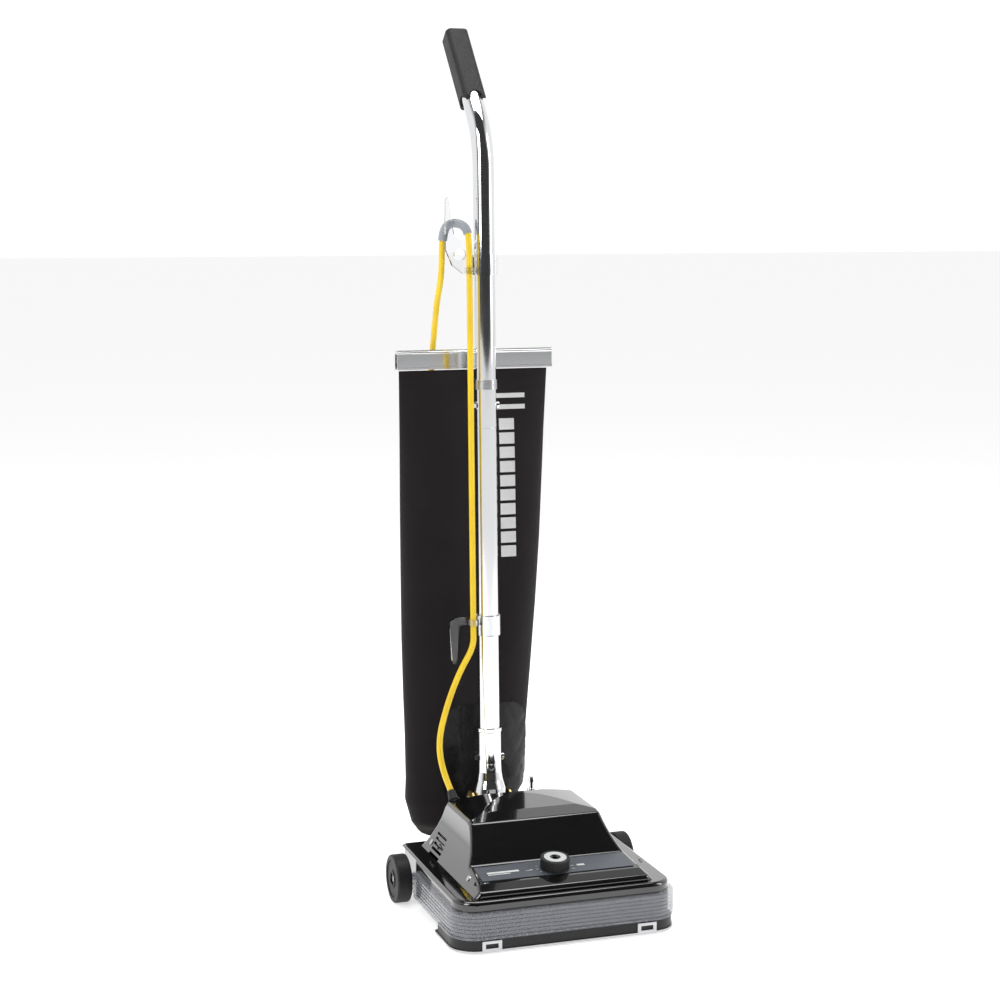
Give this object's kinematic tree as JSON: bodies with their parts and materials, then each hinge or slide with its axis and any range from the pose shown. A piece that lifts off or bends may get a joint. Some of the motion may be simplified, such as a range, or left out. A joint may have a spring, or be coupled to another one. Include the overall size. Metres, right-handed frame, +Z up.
{
  "type": "upright vacuum cleaner",
  "caption": "Commercial upright vacuum cleaner: low black base with ribbed clear bumper, chrome tube handle with rubber grip, cloth bag with top clamp, yellow cord on hooks.",
  "frame": {"origin": "on the floor, centre of the footprint of the cleaner without its loose cord", "axes": "+Z up, -Y to the front (nozzle), +X to the right seen from the front"},
  "size_m": [0.366, 0.528, 1.267],
  "materials": {
    "black_gloss": "gloss, moulded",
    "black_matte": "satin, moulded",
    "clear_vinyl": "translucent ribbed vinyl",
    "clear_plastic": "clear moulded plastic",
    "chrome": "polished chrome plate",
    "zinc": "yellow zinc plate",
    "steel": "plain steel",
    "motor_metal": "painted steel and copper windings",
    "aluminium": "polished extrusion",
    "label": "blue-grey satin panel",
    "rubber_black": "black rubber, knurled on the grip",
    "bag_cloth": "black woven cloth",
    "cord_yellow": "yellow cord jacket",
    "sleeve_grey": "grey sleeve",
    "bristle": "black nylon bristle",
    "roller_wood": "turned beech core",
    "belt_rubber": "flat belt",
    "brass": "plug pins"
  },
  "bodies": {
    "base": {"base_housing": "black_gloss", "bumper": "clear_vinyl", "nozzle_rim": "black_matte", "bottom_plate": "steel", "hood": "black_gloss", "end_plate_left": "black_gloss", "end_plate_right": "black_gloss", "label_strip": "label", "brush_shaft": "steel", "drive_belt": "belt_rubber", "motor_housing": "motor_metal", "motor_bearings": "steel", "field_core": "motor_metal", "brush_holders": "brass", "fan_housing": "black_matte", "intake_duct": "black_matte", "exhaust_duct": "black_matte", "bag_cuff": "rubber_black", "rear_axle": "steel", "axle_nuts": "steel", "pivot_bracket": "zinc", "pivot_pin": "zinc", "switch_sleeve": "chrome", "screws": "steel", "cord_grommet": "rubber_black", "cord_lower": "cord_yellow", "cord_drop": "cord_yellow", "cord_coil": "cord_yellow", "cord_tail": "cord_yellow", "plug_body": "cord_yellow", "plug_pins": "brass"},
    "knob": {"height_knob": "black_matte", "knob_dial": "aluminium"},
    "carriage": {"height_carriage": "zinc"},
    "roller_left": {"front_roller_left": "black_matte"},
    "roller_right": {"front_roller_right": "black_matte"},
    "wheel_left": {"rear_wheel_left": "rubber_black"},
    "wheel_right": {"rear_wheel_right": "rubber_black"},
    "motor_rotor": {"armature": "motor_metal", "fan": "aluminium", "motor_pulley": "steel"},
    "brush_roll": {"brush_roller": "roller_wood", "bristle_rows": "bristle"},
    "handle": {"handle_socket": "chrome", "tube_lower": "chrome", "tube_upper": "chrome", "tube_bolts": "steel", "tube_nuts": "steel", "grip": "rubber_black", "lower_hook": "clear_plastic", "upper_hook": "clear_plastic", "bag_rail": "steel", "bag_hanger": "steel", "cloth_bag": "bag_cloth", "cord_handle": "cord_yellow", "cord_sleeve": "sleeve_grey"},
    "clamp": {"bag_clamp": "aluminium"},
    "foot_switch": {"switch_plunger": "chrome"},
    "latch_left": {"plate_latch_left": "steel"},
    "latch_right": {"plate_latch_right": "steel"}
  },
  "joints": [
    {"name": "handle_tilt", "type": "hinge", "parent": "base", "child": "handle", "pos_m": [0, 0.086, 0.112], "axis": [-1, 0, 0], "range_deg": [0, 80], "deforming": ["cloth_bag", "cord_lower", "cord_drop"]},
    {"name": "carriage_drop", "type": "slide", "parent": "base", "child": "carriage", "axis": [0, 0, -1], "range_m": [0, 0.0088]},
    {"name": "knob_turn", "type": "hinge", "parent": "base", "child": "knob", "pos_m": [0, -0.199, 0.0889], "axis": [0, -0.1426, 0.9898], "range_deg": [0, 240.1]},
    {"name": "roller_left_spin", "type": "hinge", "parent": "carriage", "child": "roller_left", "pos_m": [0, -0.148, 0.011], "axis": [1, 0, 0], "continuous": true},
    {"name": "roller_right_spin", "type": "hinge", "parent": "carriage", "child": "roller_right", "pos_m": [0, -0.148, 0.011], "axis": [1, 0, 0], "continuous": true},
    {"name": "wheel_left_spin", "type": "hinge", "parent": "base", "child": "wheel_left", "pos_m": [0, -0.014, 0.035], "axis": [1, 0, 0], "continuous": true},
    {"name": "wheel_right_spin", "type": "hinge", "parent": "base", "child": "wheel_right", "pos_m": [0, -0.014, 0.035], "axis": [1, 0, 0], "continuous": true},
    {"name": "motor_spin", "type": "hinge", "parent": "base", "child": "motor_rotor", "pos_m": [0, -0.072, 0.095], "axis": [1, 0, 0], "continuous": true},
    {"name": "brush_spin", "type": "hinge", "parent": "base", "child": "brush_roll", "pos_m": [0, -0.226, 0.027], "axis": [1, 0, 0], "continuous": true},
    {"name": "switch_press", "type": "slide", "parent": "base", "child": "foot_switch", "axis": [0, 0, -1], "range_m": [0, 0.006], "stiffness_N_per_m": 500, "springref_m": -0.003},
    {"name": "latch_left_turn", "type": "hinge", "parent": "base", "child": "latch_left", "pos_m": [-0.124, -0.152, 0.0095], "axis": [0, 0, -1], "range_deg": [0, 90]},
    {"name": "latch_right_turn", "type": "hinge", "parent": "base", "child": "latch_right", "pos_m": [0.124, -0.152, 0.0095], "axis": [0, 0, 1], "range_deg": [0, 90]},
    {"name": "clamp_slide", "type": "slide", "parent": "handle", "child": "clamp", "axis": [1, 0, 0], "range_m": [0, 0.245]}
  ],
  "couplings": [
    {"joint": "knob_turn", "follows": "carriage_drop", "rad_per_m": 476},
    {"joint": "brush_spin", "follows": "motor_spin", "ratio": 0.629}
  ]
}
